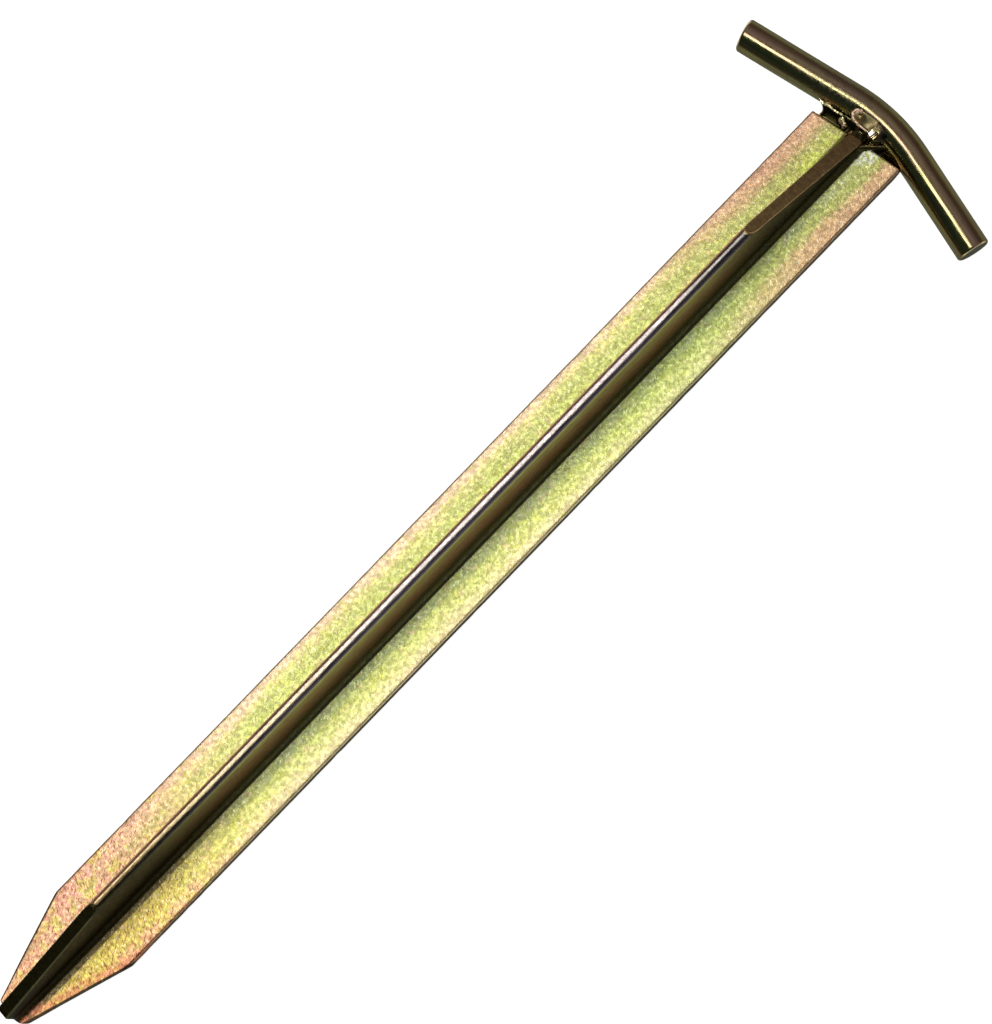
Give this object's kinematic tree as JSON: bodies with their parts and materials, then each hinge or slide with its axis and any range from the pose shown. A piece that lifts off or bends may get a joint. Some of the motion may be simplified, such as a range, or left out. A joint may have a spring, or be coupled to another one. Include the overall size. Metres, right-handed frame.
{
  "type": "tent stake",
  "caption": "Steel tent stake of T section with a tapered tip, and a bent round bar welded across the head to strike and to hold a guy line.",
  "frame": {"origin": "middle of the flange's flat back, half way along the profile", "axes": "+X along the stake towards the head, +Z out of the back through the web, +Y towards the long arm"},
  "size_m": [0.357, 0.0925, 0.033],
  "materials": {
    "zinc_profile": "rolled steel, zinc plated and yellow passivated, mottled satin sheen with pink and green tints",
    "zinc_bar": "drawn steel, zinc plated and yellow passivated, smooth dark olive gloss with fine draw lines",
    "weld_metal": "weld metal under zinc and yellow passivation, dark brown gloss with copper rims"
  },
  "bodies": {
    "root": {"t_profile": "zinc_profile", "head_bar": "zinc_bar", "weld_front_lump": "weld_metal", "weld_gap_bead": "weld_metal", "weld_side_seam": "weld_metal", "weld_back_bead": "weld_metal"}
  },
  "joints": []
}
